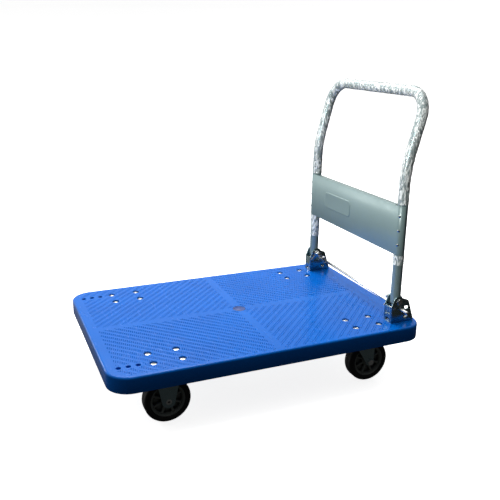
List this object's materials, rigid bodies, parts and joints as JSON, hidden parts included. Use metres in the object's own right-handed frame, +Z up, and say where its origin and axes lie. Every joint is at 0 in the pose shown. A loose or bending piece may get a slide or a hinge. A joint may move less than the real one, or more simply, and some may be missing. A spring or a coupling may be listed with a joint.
{
  "type": "folding platform cart",
  "caption": "Flatbed platform cart with a blue moulded deck, fixed and swivel casters, and a bent tube push handle that folds flat over the deck.",
  "frame": {"origin": "on the floor, under the middle of the deck", "axes": "+X along the deck towards the handle end, +Y towards the right-hand side of a person pushing, +Z up"},
  "size_m": [0.9041, 0.61, 0.8411],
  "materials": {
    "deck_plastic": "moulded polypropylene, satin, fine raised tread dashes on the load surface",
    "plug_plastic": "moulded plug, satin",
    "zinc_sheet": "bright zinc plated pressed steel",
    "zinc_hardware": "bright zinc plated bolts, nuts, washers and pins",
    "rod_steel": "bright drawn rod",
    "spring_steel": "zinc plated spring wire",
    "tube_steel": "galvanised tube, satin",
    "panel_paint": "grey-teal paint, satin",
    "film": "clear crinkled protective film",
    "tyre_rubber": "black moulded rubber",
    "core_plastic": "dark grey moulded wheel centre",
    "bush_metal": "plain bearing sleeve",
    "ball_steel": "hardened balls",
    "insert_plastic": "moulded insert"
  },
  "bodies": {
    "chassis": {"deck": "deck_plastic", "centre_plug": "plug_plastic", "hinge_bracket_left": "zinc_sheet", "hinge_bracket_right": "zinc_sheet", "bracket_bolts": "zinc_hardware", "bracket_nuts": "zinc_hardware", "pivot_bolts": "zinc_hardware", "pivot_washers": "zinc_hardware", "pivot_nuts": "zinc_hardware", "stop_pins": "zinc_hardware", "spring_coils": "spring_steel", "caster_bolts": "zinc_hardware", "caster_washers": "zinc_hardware", "caster_nuts": "zinc_hardware", "rigid_fork_left": "zinc_sheet", "rigid_fork_right": "zinc_sheet", "rigid_axles": "zinc_hardware", "swivel_plate_left": "zinc_sheet", "swivel_plate_right": "zinc_sheet", "swivel_balls": "ball_steel", "kingpins": "zinc_hardware"},
    "handle": {"handle_tube": "tube_steel", "heel_plugs": "insert_plastic", "pivot_bushes": "bush_metal", "handle_panel": "panel_paint", "panel_rivets": "zinc_hardware", "film_upper": "film", "film_lower": "film"},
    "lock_bar": {"lock_rod": "rod_steel", "rod_clips": "zinc_hardware"},
    "spring_left": {"spring_arm_left": "spring_steel"},
    "spring_right": {"spring_arm_right": "spring_steel"},
    "swivel_left": {"swivel_fork_left": "zinc_sheet", "swivel_axle_left": "zinc_hardware", "axle_nut_left": "zinc_hardware"},
    "swivel_right": {"swivel_fork_right": "zinc_sheet", "swivel_axle_right": "zinc_hardware", "axle_nut_right": "zinc_hardware"},
    "wheel_rigid_left": {"tyre_rigid_left": "tyre_rubber", "core_rigid_left": "core_plastic", "bush_rigid_left": "bush_metal"},
    "wheel_rigid_right": {"tyre_rigid_right": "tyre_rubber", "core_rigid_right": "core_plastic", "bush_rigid_right": "bush_metal"},
    "wheel_swivel_left": {"tyre_swivel_left": "tyre_rubber", "core_swivel_left": "core_plastic", "bush_swivel_left": "bush_metal"},
    "wheel_swivel_right": {"tyre_swivel_right": "tyre_rubber", "core_swivel_right": "core_plastic", "bush_swivel_right": "bush_metal"}
  },
  "joints": [
    {"name": "handle_fold", "type": "hinge", "parent": "chassis", "child": "handle", "pos_m": [0.383, 0, 0.247], "axis": [0, -1, 0], "range_deg": [0, 90]},
    {"name": "lock_release", "type": "slide", "parent": "chassis", "child": "lock_bar", "axis": [1, 0, 0], "range_m": [0, 0.008], "stiffness_N_per_m": 600, "springref_m": -0.006},
    {"name": "spring_swing_left", "type": "hinge", "parent": "chassis", "child": "spring_left", "pos_m": [0.383, -0.245, 0.247], "axis": [0, -1, 0], "range_deg": [0, 20]},
    {"name": "spring_swing_right", "type": "hinge", "parent": "chassis", "child": "spring_right", "pos_m": [0.383, 0.245, 0.247], "axis": [0, -1, 0], "range_deg": [0, 11]},
    {"name": "caster_turn_left", "type": "hinge", "parent": "chassis", "child": "swivel_left", "pos_m": [0.293, -0.22, 0.14], "axis": [0, 0, 1], "continuous": true},
    {"name": "caster_turn_right", "type": "hinge", "parent": "chassis", "child": "swivel_right", "pos_m": [0.293, 0.22, 0.14], "axis": [0, 0, 1], "continuous": true},
    {"name": "wheel_spin_rigid_left", "type": "hinge", "parent": "chassis", "child": "wheel_rigid_left", "pos_m": [-0.293, -0.22, 0.0625], "axis": [0, 1, 0], "continuous": true},
    {"name": "wheel_spin_rigid_right", "type": "hinge", "parent": "chassis", "child": "wheel_rigid_right", "pos_m": [-0.293, 0.22, 0.0625], "axis": [0, 1, 0], "continuous": true},
    {"name": "wheel_spin_swivel_left", "type": "hinge", "parent": "swivel_left", "child": "wheel_swivel_left", "pos_m": [0.313, -0.22, 0.0625], "axis": [0, 1, 0], "continuous": true},
    {"name": "wheel_spin_swivel_right", "type": "hinge", "parent": "swivel_right", "child": "wheel_swivel_right", "pos_m": [0.313, 0.22, 0.0625], "axis": [0, 1, 0], "continuous": true}
  ],
  "couplings": [
    {"joint": "spring_swing_left", "follows": "lock_release", "rad_per_m": 40.215},
    {"joint": "spring_swing_right", "follows": "lock_release", "rad_per_m": 20.592}
  ]
}
